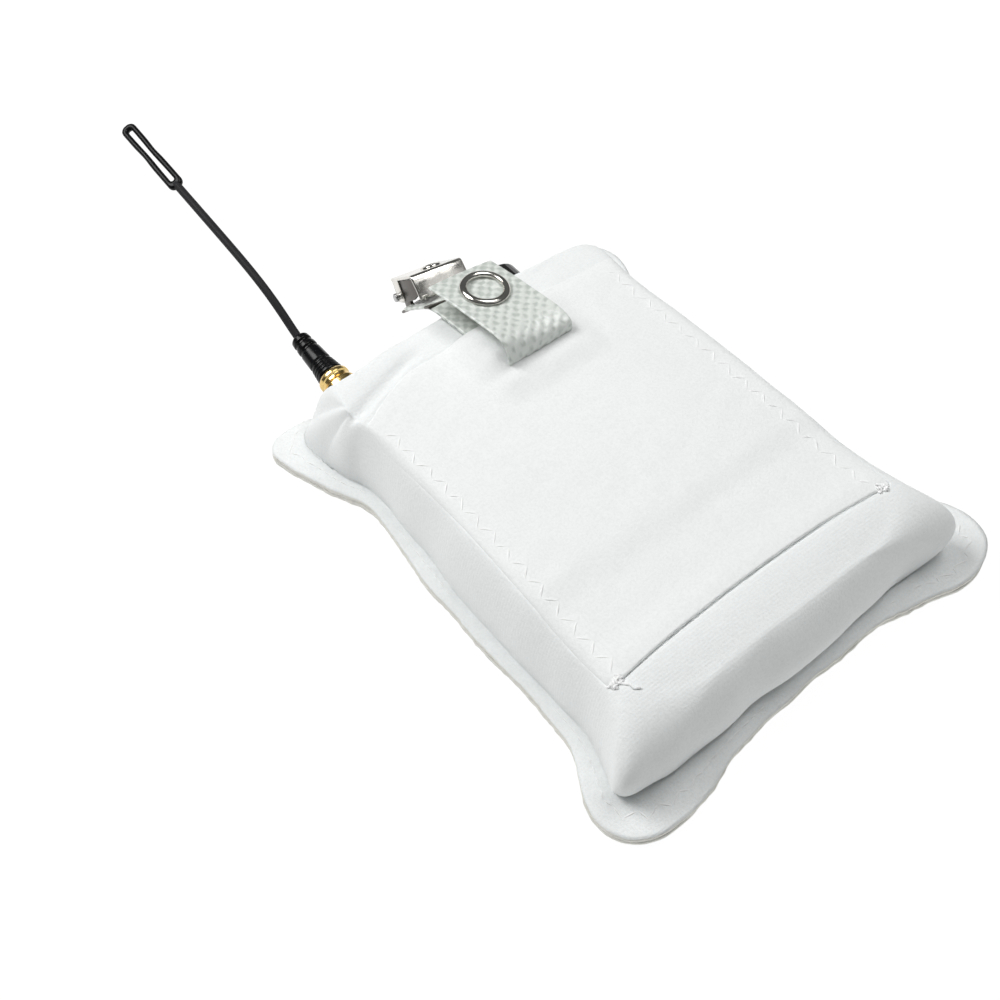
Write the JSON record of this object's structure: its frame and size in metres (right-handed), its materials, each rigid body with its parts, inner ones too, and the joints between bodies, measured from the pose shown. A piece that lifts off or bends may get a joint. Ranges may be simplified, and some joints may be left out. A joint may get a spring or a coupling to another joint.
{
  "type": "bodypack transmitter in fabric pouch",
  "caption": "Body-worn wireless transmitter in a white stretch-knit pouch, with a flexible whip antenna and a spring clip on a snap strap.",
  "frame": {"origin": "centre of the back panel's outer face, between the pouch's long sides, on the surface the pouch lies on", "axes": "+Z out of the front of the pouch, +Y to the antenna and clip end, +X to the right as seen from the front"},
  "size_m": [0.0802, 0.1687, 0.0247],
  "materials": {
    "knit": "brushed white stretch knit",
    "thread": "white polyester thread",
    "vinyl": "milky woven-reinforced vinyl",
    "nickel": "bright nickel plate on steel",
    "steel": "plain steel",
    "gold": "gold-plated brass",
    "boot_rubber": "glossy black moulding",
    "whip_sheath": "matt black sheath",
    "case_plastic": "black moulded plastic",
    "seal_rubber": "soft black rubber",
    "socket_plastic": "black moulded plastic",
    "board": "green laminate",
    "ptfe": "white insulator",
    "cell_skin": "printed cell sleeve, plain colour",
    "dark_glass": "dark clear window",
    "lamp": "green indicator lens"
  },
  "bodies": {
    "pouch": {"pouch_back_panel": "knit", "pouch_front_panel": "knit", "pouch_flap_panel": "knit", "bar_tack_left": "thread", "bar_tack_right": "thread", "strap_lower_leaf": "vinyl", "snap_stud": "nickel", "clip_rivet": "nickel", "battery_spring_a": "steel", "battery_spring_b": "steel", "battery_link_plate": "steel", "battery_end_plate": "steel", "radio_shield_can": "steel", "case_screw_1": "steel", "case_screw_2": "steel", "case_screw_3": "steel", "case_screw_4": "steel", "antenna_jack": "gold", "case_front_shell": "case_plastic", "case_rear_shell": "case_plastic", "battery_door": "case_plastic", "case_seal": "seal_rubber", "mic_socket_collar": "socket_plastic", "mic_socket_insert": "socket_plastic", "circuit_board": "board", "battery_a": "cell_skin", "battery_b": "cell_skin", "display_module": "dark_glass", "display_window": "dark_glass", "status_light": "lamp"},
    "strap_upper": {"strap_upper_leaf": "vinyl", "snap_ring_cap": "nickel", "snap_prong_ring": "nickel", "snap_socket": "nickel"},
    "clip_base": {"clip_lower_jaw": "nickel", "clip_hinge_pin": "steel", "clip_spring": "steel"},
    "clip_jaw": {"clip_upper_jaw": "nickel"},
    "antenna_base": {"antenna_connector": "gold", "antenna_centre_pin": "gold", "antenna_insulator": "ptfe", "antenna_boot": "boot_rubber"},
    "antenna_mast": {"antenna_whip": "whip_sheath", "antenna_tip_loop": "boot_rubber"},
    "button": {"power_button": "case_plastic"}
  },
  "joints": [
    {"name": "strap_unsnap", "type": "hinge", "parent": "pouch", "child": "strap_upper", "pos_m": [0.0041, 0.0229, 0.0202], "axis": [1, 0, 0], "range_deg": [0, 55]},
    {"name": "clip_swivel", "type": "hinge", "parent": "pouch", "child": "clip_base", "pos_m": [0.00162, 0.04903, 0.01381], "axis": [0, 0.6428, 0.766], "range_deg": [-22, 22]},
    {"name": "clip_open", "type": "hinge", "parent": "clip_base", "child": "clip_jaw", "pos_m": [0.00209, 0.05368, 0.01239], "axis": [-0.9945, 0.0801, -0.0672], "range_deg": [0, 28], "stiffness_Nm_per_rad": 0.15, "springref_deg": -20.05},
    {"name": "antenna_spin", "type": "hinge", "parent": "pouch", "child": "antenna_base", "pos_m": [-0.0242, 0.0415, 0.0098], "axis": [0, 0.9925, 0.1219], "continuous": true},
    {"name": "antenna_flex", "type": "hinge", "parent": "antenna_base", "child": "antenna_mast", "pos_m": [-0.0242, 0.05758, 0.01177], "axis": [1, 0, 0], "range_deg": [-15, 30], "stiffness_Nm_per_rad": 0.02},
    {"name": "power_press", "type": "slide", "parent": "pouch", "child": "button", "axis": [0, -1, 0], "range_m": [0, 0.0004], "stiffness_N_per_m": 500, "springref_m": -0.0005}
  ]
}
